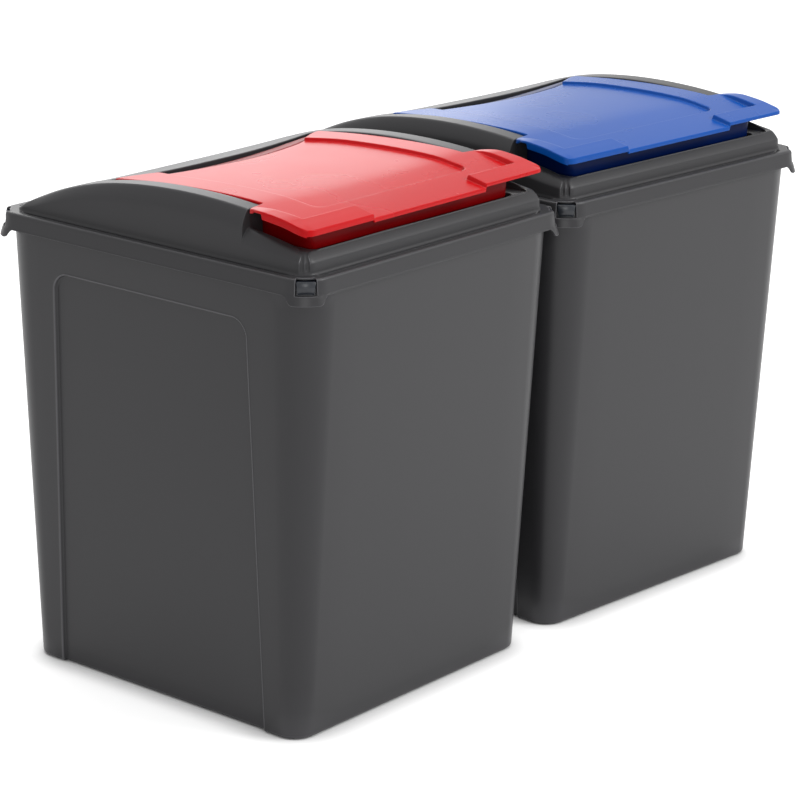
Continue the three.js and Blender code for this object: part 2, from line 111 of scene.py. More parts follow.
# Flap
FLAP_PEAK = 499.7
FLAP_PEAK_Y = -62.0
FLAP_ARCH = 2400.0
FLAP_WALL = 2.2
PANEL_SINK = 3.2
FRONT_FALL = 0.085  # how much more steeply the front of the flap falls than the arch
FALL_START_Y = -85.0
FALL_BLEND = 30.0  # the fall sets in over this length
RISER_X = 110.5
FLAP_HALF = 144.5
FLAP_FRONT_Y = -184.0
TAB_HALF = 173.0
TAB_CORNER = 11.0
TAB_REAR_Y = -107.3
LIP_REACH = 1.2  # how far the turned-down edge stands out from the top's last column
APRON_Y = 84.0
APRON_Z = 479.6
APRON_HALF = 137.0
APRON_WALL = 2.0
TRAY_WALL = 1.8
HINGE_Y = 76.0
HINGE_Z = 484.5
PIN_RADIUS = 2.9
PIN_START_X = 142.0
PIN_END_X = 149.4
PIN_CHAMFER = 0.6


def blend(a, b, t):
    return a + (b - a) * t


def clamp(t):
    return min(max(t, 0.0), 1.0)


def smooth(x, x0, x1):
    t = clamp((x - x0) / (x1 - x0))
    return t * t * (3.0 - 2.0 * t)


# ---------------------------------------------------------------- meshes


def make_object(name, points, faces, place):
    """A smooth-shaded object from points in millimetres, moved to its bin's place in metres."""
    mesh = bpy.data.meshes.new(name)
    mesh.from_pydata([place @ (Vector(p) * MM) for p in points], [], faces)
    mesh.update()
    mesh.polygons.foreach_set("use_smooth", [True] * len(mesh.polygons))
    obj = bpy.data.objects.new(name, mesh)
    bpy.context.scene.collection.objects.link(obj)
    return obj


class Builder:
    """Collects points and quads of one piece."""

    def __init__(self):
        self.points = []
        self.faces = []

    def strip(self, rows, closed=False, skip=None, flip=False):
        """Quads between rows of equal length; closed joins each row's end to its start, skip(row, column)
        leaves a quad out, and flip turns them over."""
        base = len(self.points)
        count = len(rows[0])
        for row in rows:
            self.points.extend(row)
        last = count if closed else count - 1
        for r in range(len(rows) - 1):
            for i in range(last):
                if skip and skip(r, i):
                    continue
                j = (i + 1) % count
                quad = [base + r * count + i, base + r * count + j]
                quad += [base + (r + 1) * count + j, base + (r + 1) * count + i]
                self.faces.append(quad[::-1] if flip else quad)

    def cap(self, ring, flip=False):
        """One face that closes a ring."""
        base = len(self.points)
        self.points.extend(ring)
        face = list(range(base, base + len(ring)))
        self.faces.append(face[::-1] if flip else face)


def add_modifier(obj, kind, **settings):
    modifier = obj.modifiers.new(kind.title(), kind)
    for key, value in settings.items():
        setattr(modifier, key, value)
    return modifier


# ---------------------------------------------------------------- tub


def tub_size(z):
    return [blend(a, b, z / TUB_HEIGHT) for a, b in zip(TUB_BASE, TUB_TOP)]


def panel_half(z):
    return PANEL_HALF_FOOT + (PANEL_HALF_TOP - PANEL_HALF_FOOT) * z / PANEL_TOP


def panel_depth(y, z):
    """How deep the side face is recessed at y, z: a rounded rectangle open at the foot."""
    dy = abs(y) - (panel_half(z) - PANEL_RADIUS)
    dz = z - (PANEL_TOP - PANEL_RADIUS)
    outside = math.hypot(max(dy, 0.0), max(dz, 0.0)) + min(max(dy, dz), 0.0) - PANEL_RADIUS
    bead = PANEL_BEAD * smooth(outside, 0.2, 1.0) * (1.0 - smooth(outside, 1.4, 2.6))
    return PANEL_DEPTH * (1.0 - smooth(outside, -PANEL_SLOPE, PANEL_SLOPE)) - bead


def spread(a, b, step):
    """Values from a towards b, about step apart, without b."""
    count = max(1, round(abs(b - a) / step))
    return [a + (b - a) * k / count for k in range(count)]


def side_columns():
    """Places along a side face, from -1 to 1 of the panel's half width, dense at the panel's edges."""
    fine = spread(PANEL_HALF_TOP - PANEL_RADIUS - 2, PANEL_HALF_TOP + 4, 0.8)
    coarse = spread(0.0, fine[0], 26.0)
    right = [c / PANEL_HALF_TOP for c in coarse + fine]
    return [-c for c in right[:0:-1]] + right


def tub_ring(z, inset, columns, flat=False):
    """The tub's outline at height z, anticlockwise from the front right corner."""
    half_x, half_y, radius = [v - inset for v in tub_size(max(z, 0.0))]
    ring = []

    def arc(cx, cy, start):
        for k in range(1, 12):
            angle = math.radians(start + 90.0 * k / 12)
            ring.append((cx + radius * math.cos(angle), cy + radius * math.sin(angle), z))

    def side(sign):
        ends = half_y - radius
        inner = [panel_half(z) * c for c in columns]
        ys = [-ends] + [blend(-ends, inner[0], 0.5)] + inner + [blend(ends, inner[-1], 0.5)] + [ends]
        for y in ys if sign > 0 else ys[::-1]:
            depth = 0.0 if flat else panel_depth(y, z)
            ring.append((sign * (half_x - depth), y, z))

    def straight(sign):
        xs = np.linspace(half_x - radius, radius - half_x, 9)
        for x in xs if sign > 0 else xs[::-1]:
            ring.append((float(x), sign * half_y, z))

    arc(half_x - radius, radius - half_y, -90)
    side(1)
    arc(half_x - radius, half_y - radius, 0)
    straight(1)
    arc(radius - half_x, half_y - radius, 90)
    side(-1)
    arc(radius - half_x, radius - half_y, 180)
    straight(-1)
    return ring


def tub_lug(builder, sx, sy):
    """The tongue that stands in the lid's corner window, with softened edges."""
    out = Vector((sx, sy)).normalized()
    across = Vector((-out.y, out.x))
    centre = Vector((sx * (SKIRT[0] - SKIRT[2]), sy * (SKIRT[1] - SKIRT[2])))
    soft = LUG_SOFT

    def ring(z, inset):
        half = blend(LUG_HALF_BOTTOM, LUG_HALF_TOP, (z - LUG_BOTTOM) / (LUG_TOP - LUG_BOTTOM)) - inset
        face = LUG_FACE - inset
        back = LUG_BACK - LUG_TONGUE
        outline = [(back, half), (back, -half), (face - soft, -half), (face, soft - half)]
        outline += [(face, half - soft), (face - soft, half)]
        return [(*(centre + out * o + across * s), z) for o, s in outline]

    rings = [ring(LUG_BOTTOM, soft), ring(LUG_BOTTOM + soft, 0.0)]
    rings += [ring(LUG_TOP - soft, 0.0), ring(LUG_TOP, soft)]
    builder.strip(rings, closed=True)
    builder.cap(rings[0], flip=True)
    builder.cap(rings[-1])


def build_tub(name, place):
    columns = side_columns()
    builder = Builder()
    panel_start, panel_end = PANEL_TOP - PANEL_RADIUS - 3, PANEL_TOP + 4
    heights = [TUB_EDGE * (1 - math.sin(a)) for a in np.radians([90, 68, 45, 22])]
    heights += spread(TUB_EDGE, panel_start, 24.0) + spread(panel_start, panel_end, 0.8)
    heights += spread(panel_end, TUB_HEIGHT - 1, 14.0)
    heights += [TUB_HEIGHT - 1.0, TUB_HEIGHT - 0.3, TUB_HEIGHT]

    def edge_inset(h):
        if h >= TUB_EDGE:
            return 0.0
        return TUB_EDGE - TUB_EDGE * math.sin(math.acos(1 - h / TUB_EDGE))

    insets = [edge_inset(h) for h in heights]
    insets[-2:] = [0.3, 1.0]
    rows = [tub_ring(z, inset, columns) for z, inset in zip(heights, insets)]
    foot = [(FOOT_RING, 0.0), (FOOT_RING + 1.0, FOOT_LIFT), (60.0, FOOT_LIFT), (120.0, FOOT_LIFT)]
    under = []
    for inset, z in foot:
        ring = tub_ring(0.0, inset, columns, flat=inset > FOOT_RING)
        under.append([(x, y, z) for x, y, _ in ring])
    rows = under[::-1] + rows
    builder.strip(rows, closed=True)
    builder.cap(rows[0], flip=True)
    obj = make_object(name, builder.points, builder.faces, place)
    add_modifier(obj, "SOLIDIFY", thickness=TUB_WALL * MM, offset=-1.0, use_rim=True)
    lugs = Builder()
    for sx in (-1, 1):
        for sy in (-1, 1):
            tub_lug(lugs, sx, sy)
    return obj, make_object(name + "_lugs", lugs.points, lugs.faces, place)


# ---------------------------------------------------------------- lid frame

# Degrees from a corner's diagonal; the window lies inside WINDOW_ANGLE
CORNER_ANGLES = (-45, -38, -31.5, -26, -21.5, -20.3, -15, -8, 0, 8, 15, 20.3, 21.5, 26, 31.5, 38, 45)
WINDOW_ANGLE = 21.9
FRONT_PARTS = (0.0, 0.4, 0.75, 0.93, 0.98)  # shares of the way from the middle to the corner's start
# Places along the side, with the rail share: 0 in front of the step, 1 behind it
SIDE_YS = (
    (-166, 0), (-157.5, 0), (-150, 0), (-138, 0), (-126, 0), (-117, 0), (-111.5, 0), (-108.6, 0),
    (-107.7, 0), (-107.4, 0.1), (-106.6, 0.9), (-106.3, 1), (-105.4, 1), (-102.5, 1), (-95, 1),
    (-82, 1), (-62, 1), (-35, 1), (-8, 1), (18, 1), (42, 1), (60, 1), (71, 1), (77, 1), (82, 1),
    (90, 1), (102, 1), (116, 1), (130, 1), (144, 1), (157.5, 1), (166, 1),
)


def rail_top(y):
    u = y - RAIL_PEAK_Y
    return RAIL_PEAK - RAIL_FALL_2 * u ** 2 - RAIL_FALL_4 * u ** 4


def dome_top(x, y):
    middle = 1.0 - smooth(abs(x), *SCOOP_X)
    return rail_top(y) - SCOOP_DEPTH * middle * (1.0 - smooth(y, *SCOOP_Y))


def crest_top(y):
    t = clamp((y - RECESS_FRONT_Y) / (STEP_Y - RECESS_FRONT_Y))
    return CREST + CREST_RISE * (t + t * t) / 2.0


def arc_point(half_x, y_mid, radius, degrees):
    angle = math.radians(degrees)
    return (half_x - radius + radius * math.cos(angle), y_mid + radius * math.sin(angle))


def stations():
    """Plan stations of the lid's right half, from the middle of the front round to the back.

    Each holds the skirt's point, the outward normal, the dome's foot, the recess's edge, the opening's
    edge, the angle from the nearest corner's diagonal (None on a straight) and the rail share, which
    is 0 in front of the step and 1 behind it."""
    skirt_x, skirt_y, skirt_r = SKIRT
    foot_x, foot_y, foot_r = DOME_FOOT
    recess_r, open_r = RECESS_RADIUS, OPENING_RADIUS
    nowhere = (0, 0)
    result = []

    def add(skirt, normal, foot, recess, opening, angle, share):
        points = [Vector(p) for p in (skirt, normal, foot, recess, opening)]
        result.append((*points, angle, share))

    for part in FRONT_PARTS:
        add((part * (skirt_x - skirt_r), -skirt_y), (0, -1), (part * (foot_x - foot_r), -foot_y),
            (part * (RECESS_HALF - recess_r), RECESS_FRONT_Y),
            (part * (OPENING_HALF - open_r), OPENING_FRONT_Y), None, 0)
    for phi in CORNER_ANGLES:
        degrees = phi - 45.0
        normal = (math.cos(math.radians(degrees)), math.sin(math.radians(degrees)))
        add(arc_point(skirt_x, skirt_r - skirt_y, skirt_r, degrees), normal,
            arc_point(foot_x, foot_r - foot_y, foot_r, degrees),
            arc_point(RECESS_HALF, RECESS_FRONT_Y + recess_r, recess_r, degrees),
            arc_point(OPENING_HALF, OPENING_FRONT_Y + open_r, open_r, degrees), phi, 0)
    side_end = foot_y - foot_r
    for y, share in SIDE_YS:
        skirt = (skirt_x, y * (skirt_y - skirt_r) / side_end)
        front = clamp((STEP_Y - y) / (STEP_Y + side_end))
        recess = (RECESS_HALF, blend(y, RECESS_FRONT_Y + recess_r, front) if y < STEP_Y else y)
        opening = (OPENING_HALF, blend(y, OPENING_FRONT_Y + open_r, front) if y < STEP_Y else y)
        add(skirt, (1, 0), (foot_x, y), recess, opening, None, share)
    for phi in CORNER_ANGLES:
        degrees = phi + 45.0
        normal = (math.cos(math.radians(degrees)), math.sin(math.radians(degrees)))
        add(arc_point(skirt_x, skirt_y - skirt_r, skirt_r, degrees), normal,
            arc_point(foot_x, foot_y - foot_r, foot_r, degrees), nowhere, nowhere, phi, 1)
    for part in FRONT_PARTS[::-1]:
        add((part * (skirt_x - skirt_r), skirt_y), (0, 1), (part * (foot_x - foot_r), foot_y),
            nowhere, nowhere, None, 1)

    # Behind the opening's straight sides, the opening's edge is found by the direction from its corner.
    corner = Vector((OPENING_HALF - open_r, OPENING_REAR_Y - open_r))
    for k, (skirt, normal, foot, _, opening, angle, share) in enumerate(result):
        if foot.y <= corner.y:
            continue
        if foot.x <= corner.x:
            opening = Vector((foot.x, OPENING_REAR_Y))
        else:
            opening = corner + (foot - corner).normalized() * open_r
        result[k] = (skirt, normal, foot, None, opening, angle, share)
    return result


# Heights of the lines round the outer face, from the bottom edge up: below an ear, and on the plain skirt
EAR_LINES = (426.0, 427.2, 430.0, 433.0, 434.7, 436.4, 440.5, 445.5, 448.6)
SKIRT_LINES = (434.0, 434.8, 435.6, 436.4, 437.2, 438.4, 441.0, 445.5, 448.6)
WINDOW_LINE = 4
# Distance inwards from the flange's edge, depth below the flange, and whether the depth is the groove's
FLANGE_LINES = (
    (1.2, 0, 0), (3.4, 0, 0), (4.6, 0, 0), (7.7, 0, 0), (8.0, 0.9, 1), (8.3, 3.4, 1), (11.9, 3.4, 1),
    (12.2, 0.9, 1), (12.5, 0, 0),
)
FLANGE_RUN = 13.0  # the flange's width that these distances are written for
WINDOW_TOP_LINE = 2
NICHE_DEPTH = 2.2
NICHE_END = 21.5  # degrees from the corner's diagonal
NICHE_PERIOD = 20.3
TOP_EDGE = 6.2  # rounding of the dome's top edge
WALL_SHARES = (0.06, 0.18, 0.4, 0.65, 0.86)


def ear_share(angle):
    if angle is None:
        return 0.0
    return 1.0 - smooth(abs(angle), 28.0, 44.0)


def niche(angle):
    """Depth of the two upright flutes in the dome's corner."""
    if angle is None or abs(angle) >= NICHE_END:
        return 0.0
    phase = math.radians(min(abs(angle) / NICHE_PERIOD, 1.0) * 180.0)
    return NICHE_DEPTH * (0.45 + 0.55 * math.sin(phase) ** 0.5)


def lid_section(station):
    """Points of the lid's outer skin at one station, from the skirt's bottom edge to inside the opening."""
    skirt, normal, foot, recess, opening, angle, share = station
    section = []

    def put(plan, z):
        section.append((plan.x, plan.y, z))

    ear = ear_share(angle)
    for low, high in zip(EAR_LINES, SKIRT_LINES):
        z = blend(high, low, ear)
        flare = EAR_FLARE * ear * clamp((WINDOW_BOTTOM - z) / (WINDOW_BOTTOM - EAR_BOTTOM)) ** 0.7
        flare += EDGE_BEAD if low < 428.0 else 0.0
        lean = SKIRT_DRAFT * max(z - SKIRT_BOTTOM, 0.0) / (FLANGE_TOP - SKIRT_BOTTOM)
        put(skirt + normal * (flare - lean), z)
    rim = skirt - normal * SKIRT_DRAFT
    run = (rim - foot).length
    inward = (foot - rim) / run
    groove = 1.0 if angle is None else 0.0
    for distance, depth, is_groove in FLANGE_LINES:
        z = FLANGE_TOP - depth * (groove if is_groove else 1.0)
        put(rim + inward * (distance * run / FLANGE_RUN), z)

    # Dome wall, from a small fillet at its foot to the start of the rounded top edge
    wall_top = blend(crest_top(foot.y), dome_top(foot.x, foot.y), share)
    top = max(wall_top, FLANGE_TOP + 1.6)
    height = top - FLANGE_TOP
    edge = min(TOP_EDGE, height * 0.42)
    put(foot - normal * 0.1, FLANGE_TOP + min(1.3, height * 0.3))
    for wall_share in WALL_SHARES:
        z = FLANGE_TOP + blend(min(2.6, height * 0.4), height - edge, wall_share)
        inset = (z - FLANGE_TOP) * DOME_LEAN
        in_niche = niche(angle) * clamp((height - 4.0) / 10.0)
        in_niche *= smooth(wall_share, -0.05, 0.1)
        put(foot - normal * (inset + in_niche), z)

    # Top, to the recess's edge in front of the step and on to the opening behind it
    start = foot - normal * (height * DOME_LEAN + edge)
    if recess is None:
        lines = [start.lerp(opening, t) for t in (0.0, 0.14, 0.3, 0.46, 0.62, 0.77, 0.9)]
    else:
        out = (recess - opening).normalized()
        lines = [start, start.lerp(recess, 0.5), recess + out * 0.7, recess]
        lines += [recess - out * 0.15, recess - out * 0.8, recess.lerp(opening, 0.5)]
    away = (start - opening).normalized()
    lines.append(opening + away * 0.8)
    front_z = [crest_top(foot.y)] * 3 + [crest_top(foot.y) - 0.6, RECESS_FLOOR + 0.7] + [RECESS_FLOOR] * 3
    for plan, low in zip(lines, front_z):
        put(plan, blend(low, dome_top(plan.x, plan.y), share))
    for plan, low, drop in ((opening, RECESS_FLOOR - 0.8, 0.8), (opening, RECESS_FLOOR - 1.6, 2.0)):
        put(plan, blend(low, dome_top(plan.x, plan.y) - drop, share))
    put(opening, blend(RECESS_FLOOR - 3.0, 477.0, share))
    return section


def build_lid(name, place):
    half = stations()
    columns = [lid_section(s) for s in half]
    mirrored = [[(-x, y, z) for x, y, z in column] for column in columns[-2:0:-1]]
    angles = [s[5] for s in half] + [s[5] for s in half[-2:0:-1]]
    ring = columns + mirrored
    count = len(ring)
    window_rows = range(WINDOW_LINE, len(EAR_LINES) + WINDOW_TOP_LINE)

    def in_window(row, i):
        a, b = angles[i], angles[(i + 1) % count]
        if a is None or b is None or row not in window_rows:
            return False
        return abs(a) < WINDOW_ANGLE and abs(b) < WINDOW_ANGLE

    rows = [[ring[i][r] for i in range(count)] for r in range(len(ring[0]))]
    builder = Builder()
    builder.strip(rows, closed=True, skip=in_window)
    obj = make_object(name, builder.points, builder.faces, place)
    add_modifier(obj, "SOLIDIFY", thickness=LID_WALL * MM, offset=-1.0, use_rim=True,
                 edge_crease_inner=0.6, edge_crease_outer=0.6, edge_crease_rim=0.6)
    add_modifier(obj, "SUBSURF", levels=2, render_levels=2)
    return obj


# ---------------------------------------------------------------- flap

PAD_INNER = ((-120.0, 157.5), (-156.0, 153.0))  # the side bar's inner wall, from y, x to y, x
PAD_END_X = 81.5  # the front bar's inner end
PAD_BACK_Y = -160.5  # the front bar lies ahead of this, the side bars ahead of the next
PAD_START_Y = -110.5
# y, z along the top of the finger pads
PAD_TOP = (
    (-184.0, 490.2), (-178.0, 491.6), (-172.0, 493.0), (-166.0, 494.2), (-160.0, 495.6), (-153.0, 496.9),
    (-142.0, 498.2), (-132.0, 499.2), (-125.0, 499.4), (-118.0, 499.0), (-114.0, 498.4), (-110.0, 497.9),
)
PANEL_FRONT_Y = -141.3
PANEL_CORNER = 11.0
REAR_ARC_HALF = 101.0
REAR_ARC_Y = 42.5
REAR_ARC_BOW = 18.0
BORDER_REAR_Y = 62.0
# y, half width of the finger tabs, whose last points are a small nub beside the rail
TAB_OUTLINE = (
    (-184.0, 173.0), (-131.0, 173.0), (-122.5, 172.2), (-119.0, 169.4), (-114.0, 169.0), (-111.0, 168.0),
    (-109.2, 164.0), (-108.2, 158.0), (-107.6, 152.0),
)


def line_x(ends, y):
    (y0, x0), (y1, x1) = ends
    return blend(x0, x1, clamp((y - y0) / (y1 - y0)))


def flap_arch(y):
    return FLAP_PEAK - (y - FLAP_PEAK_Y) ** 2 / FLAP_ARCH


def flap_height(y, level):
    """level 0 is the sunk panel, 1 the field round it and 2 the finger pads."""
    if level == 2:
        return float(np.interp(y, *zip(*PAD_TOP)))
    ahead = FALL_START_Y - y
    if ahead > FALL_BLEND:
        fall = FRONT_FALL * (ahead - FALL_BLEND / 2.0)
    else:
        fall = FRONT_FALL * (max(ahead, 0.0) ** 2 / (2.0 * FALL_BLEND))
    return flap_arch(y) - fall - (0.0 if level else PANEL_SINK)


def rear_edge(x):
    """Rear end of the flap's top: an arc between the side borders, whose ends reach the hinge."""
    ax = abs(x)
    if ax < REAR_ARC_HALF:
        return REAR_ARC_Y + REAR_ARC_BOW * (ax / REAR_ARC_HALF) ** 2
    return BORDER_REAR_Y + 17.0 * smooth(ax, REAR_ARC_HALF, 143.0) ** 0.8


def tab_half(y):
    """Half width of the finger tabs."""
    return float(np.interp(y, *zip(*TAB_OUTLINE)))


def riser_x(y):
    """The panel's side edge, which narrows at the rear and turns round the front corners."""
    if y > 30.0:
        return blend(RISER_X, 104.0, clamp((y - 30.0) / 32.0))
    side = blend(RISER_X, 109.0, clamp((-95.0 - y) / 35.0))
    into = clamp((PANEL_FRONT_Y + PANEL_CORNER - y) / PANEL_CORNER)
    back = 1.0 if y > PANEL_FRONT_Y else 1.0 - smooth(PANEL_FRONT_Y - y, 0.0, 12.0)
    return side - back * PANEL_CORNER * (1.0 - math.sqrt(1.0 - into * into))


def flap_columns(y):
    """Columns of the right half at y: the pad's end, the panel's edge, the side bar and the side edge."""
    riser = riser_x(y)
    if y > TAB_REAR_Y:
        outer = [128.0, 136.0, 138.0, 140.0, 141.5, FLAP_HALF - 2.1, FLAP_HALF - LIP_REACH]
    else:
        reach = tab_half(y) - LIP_REACH
        bar = min(line_x(PAD_INNER, y), reach - 4.0)
        outer = [bar - 14.0, bar - 1.6, bar - 0.6, bar + 0.5, bar + 1.4, reach - 0.9, reach]
        ahead = clamp((-161.0 - y) / 9.0)
        front = (140.0, 150.0, 157.5, 162.5, 166.0, 169.0, reach)
        outer = [blend(a, b, ahead) for a, b in zip(outer, front)]
    inner = [0.0, 24.0, 48.0, PAD_END_X - 1.6, PAD_END_X - 0.7, PAD_END_X + 0.5, PAD_END_X + 1.3, 90.0]
    return inner + [riser - 1.4, riser - 0.5, riser + 0.5, riser + 1.4] + outer


FLAP_YS = (
    36, 18, -8, -35, -62, -85, -98, -104.5, -106.6, -107.9, -109.4, -111.6, -114.6, -118, -122,
    -126.5, -129.3, -130.4, -131.4, -133.5, -136.3, -138.6, -140.1, -140.9, -141.7, -142.6, -146,
    -152, -158.4, -159.6, -160.2, -161.1, -162.5, -168, -173, -176.5, -179.5, -182, -183,
)
# Numbers of flap_columns: the first of the front bar, the last of the panel, the first of the side bar
FRONT_BAR_COLUMN, LAST_PANEL_COLUMN, SIDE_BAR_COLUMN = 5, 9, 15


def column_level(i, y):
    if i >= SIDE_BAR_COLUMN and y < PAD_START_Y:
        return 2
    if i >= FRONT_BAR_COLUMN and y < PAD_BACK_Y:
        return 2
    return 0 if i <= LAST_PANEL_COLUMN and y > PANEL_FRONT_Y else 1


def flap_rows():
    """Rows of the flap's top from its rear edge to its front, left to right."""
    rear = flap_columns(BORDER_REAR_Y)
    rows = [[(x, rear_edge(x) - back) for x in rear] for back in (0.0, 1.0, 5.0)]
    rows += [[(x, float(y)) for x in flap_columns(y)] for y in FLAP_YS]
    result = []
    for r, row in enumerate(rows):
        drop = 0.5 if r == 0 else 0.0
        points = [(x, y, flap_height(y, column_level(i, y)) - drop) for i, (x, y) in enumerate(row)]
        result.append([(-x, y, z) for x, y, z in points[:0:-1]] + points)
    return result


def round_front(rows):
    """Draws the front rows in so that the tabs' corners are round."""
    centre_x, centre_y = TAB_HALF - TAB_CORNER, FLAP_FRONT_Y + TAB_CORNER
    for row in rows:
        for i, (x, y, z) in enumerate(row):
            dx, dy = abs(x) - centre_x, centre_y - y
            if dx <= 0 or dy <= 0:
                continue
            scale = max(dx, dy) / math.hypot(dx, dy)
            row[i] = (math.copysign(centre_x + dx * scale, x), centre_y - dy * scale, z)


# Depth of the turned-down edge, where two values are the left and the right one
SIDE_LIP = (7.4, 3.4)
FRONT_PAD_LIP = (6.0, 3.4)
FRONT_LIP = 4.2
NUB_LIP = 4.2
RAIL_SIDE_LIP = 3.0
LEAST_LIP = 2.4


def lip_depth(x, y):
    """Depth of the turned-down edge along the flap's side, which is deepest on the left."""
    nub = NUB_LIP * (1 - smooth(-y, 117.0, 119.5))
    deep = SIDE_LIP[x >= 0] * smooth(-y, 129.2, 130.5)
    rail_side = RAIL_SIDE_LIP * (1 - smooth(-y, 106.0, 107.5))
    return max(nub * (1 - smooth(y, -108.5, -106.5)) + rail_side, LEAST_LIP, deep)


def flap_lip(builder, rows):
    """The rounded, turned-down edge round the sides and front."""
    path = [row[0] for row in rows] + rows[-1][1:-1] + [row[-1] for row in rows[::-1]]
    last = len(path) - 1
    rings = [[], [], [], []]
    for i, (x, y, z) in enumerate(path):
        before, after = Vector(path[max(i - 1, 0)][:2]), Vector(path[min(i + 1, last)][:2])
        along = (after - before).normalized()
        out = Vector((along.y, -along.x))
        if abs(x) > 140:
            out = -out if out.x * x < 0 else out
        elif i not in (0, last):
            out = Vector((0.0, -1.0))
        if y < -180.0:
            pad = smooth(abs(x), PAD_END_X - 1.5, PAD_END_X + 1.5)
            depth = blend(FRONT_LIP, FRONT_PAD_LIP[x >= 0], pad)
        else:
            depth = lip_depth(x, y)
        steps = ((0.55, 0.12), (1.1, 0.8), (LIP_REACH, 0.5 * depth), (LIP_REACH, depth))
        for ring, (reach, drop) in zip(rings, steps):
            ring.append((x + out.x * reach, y + out.y * reach, z - drop))
    builder.strip([path] + rings, flip=True)


# The tray wall's side: y, and half width at its top and at its foot
TRAY_SIDE = [(y, 144.0, 144.0) for y in (78, 50, 10, -30, -70, -98, -106)]
TRAY_SIDE += [(-109.0, 147.5, 144.1), (-113.0, 151.0, 144.3), (-125.0, 151.2, 144.4), (-138.0, 151.0, 144.4)]
TRAY_RADIUS = 9.0
TRAY_TOP_CORNER = (151.0, -151.0)  # half width, and y where the corner starts
TRAY_FOOT_CORNER = (144.4, -154.5)
TRAY_FOOT_Z = (463.5, 476.0)  # at the front and at the hinge


def tray_wall(builder):
    """The wall under the flap that closes the opening: down the sides and across the front."""
    rows = [[], [], []]
    right = [((top_x, y), (low_x, y)) for y, top_x, low_x in TRAY_SIDE]
    (top_x, top_y), (low_x, low_y), radius = TRAY_TOP_CORNER, TRAY_FOOT_CORNER, TRAY_RADIUS
    for degrees in (0, 22.5, 45, 67.5, 90):
        c, s = math.cos(math.radians(degrees)), math.sin(math.radians(degrees))
        right.append(((top_x - radius + radius * c, top_y - radius * s),
                      (low_x - radius + radius * c, low_y - radius * s)))
    for x in (100.0, 50.0, 0.0):
        right.append(((x, top_y - radius), (x, low_y - radius)))
    plan = [((-a[0], a[1]), (-b[0], b[1])) for a, b in right] + right[-2::-1]
    for (tx, ty), (lx, ly) in plan:
        high = flap_height(ty, 0) + 0.6
        floor = blend(*TRAY_FOOT_Z, clamp((ty + 165.0) / 241.0))
        for ring, t in zip(rows, (0.0, 0.75, 1.0)):
            z = blend(high, floor, t)
            lean = smooth(z, 466.0, high)
            ring.append((blend(lx, tx, lean), blend(ly, ty, lean), z))
    builder.strip(rows, flip=True)


def flap_apron(builder):
    """The dipped apron behind the flap's rear edge."""
    xs = [x for x in flap_columns(BORDER_REAR_Y) if x < APRON_HALF]
    xs = [-x for x in xs[:0:-1]] + xs
    rows = [[], [], [], []]
    for x in xs:
        edge = rear_edge(x)
        ridge = flap_height(edge, 0) - 0.7
        slope = (APRON_Z - ridge) / (APRON_Y - REAR_ARC_Y)
        end = min(APRON_Y, edge + 1.5 + max(0.0, APRON_HALF - abs(x)))
        for ring, t in zip(rows, (0.0, 0.5, 0.97, 1.0)):
            y = blend(edge - 0.3, end, t)
            ring.append((x, y, ridge + slope * (y - edge)))
    builder.strip(rows)


def pin(builder, side):
    """A hinge pin with a chamfered end; side is -1 on the left and 1 on the right."""
    rings = []
    for x, radius in ((PIN_START_X, PIN_RADIUS), (PIN_END_X - PIN_CHAMFER, PIN_RADIUS),
                      (PIN_END_X, PIN_RADIUS - PIN_CHAMFER)):
        ring = []
        for k in range(20):
            angle = 2 * math.pi * k / 20
            ring.append((side * x, HINGE_Y + radius * math.cos(angle), HINGE_Z + radius * math.sin(angle)))
        rings.append(ring)
    builder.strip(rings, closed=True, flip=side < 0)
    builder.cap(rings[-1], flip=side < 0)
    builder.cap(rings[0], flip=side > 0)


def build_flap(name, place):
    """The flap's pieces: its top, tray wall, apron and pins."""
    rows = flap_rows()
    round_front(rows)
    shell = Builder()
    shell.strip(rows, flip=True)
    flap_lip(shell, rows)
    top = make_object(name, shell.points, shell.faces, place)
    add_modifier(top, "WELD", merge_threshold=0.00002)
    add_modifier(top, "SOLIDIFY", thickness=FLAP_WALL * MM, offset=-1.0, use_rim=True,
                 edge_crease_inner=0.5, edge_crease_outer=0.5, edge_crease_rim=0.5)
    add_modifier(top, "SUBSURF", levels=2, render_levels=2)
    lower = Builder()
    tray_wall(lower)
    tray = make_object(name + "_tray", lower.points, lower.faces, place)
    add_modifier(tray, "SOLIDIFY", thickness=TRAY_WALL * MM, offset=-1.0, use_rim=True)
    add_modifier(tray, "SUBSURF", levels=1, render_levels=1)
    back = Builder()
    flap_apron(back)
    apron = make_object(name + "_apron", back.points, back.faces, place)
    add_modifier(apron, "SOLIDIFY", thickness=APRON_WALL * MM, offset=-1.0, use_rim=True)
    pins = Builder()
    for side in (-1, 1):
        pin(pins, side)
    return [top, tray, apron, make_object(name + "_pins", pins.points, pins.faces, place)]


# ---------------------------------------------------------------- materials

# Sockets of the Mix node when it mixes colours: these share their names with those for other data
MIX_FACTOR, MIX_A, MIX_B, MIX_RESULT = 0, 6, 7, 2
CLOUD_CONTRAST = 0.07
ROUGHNESS_SPREAD = 0.04
EDGE_HIGHLIGHT_GAIN = 4.5  # the colour of the painted highlight on a sharp edge, against the base colour
EDGE_HIGHLIGHT_POINTINESS = (0.51, 0.57)


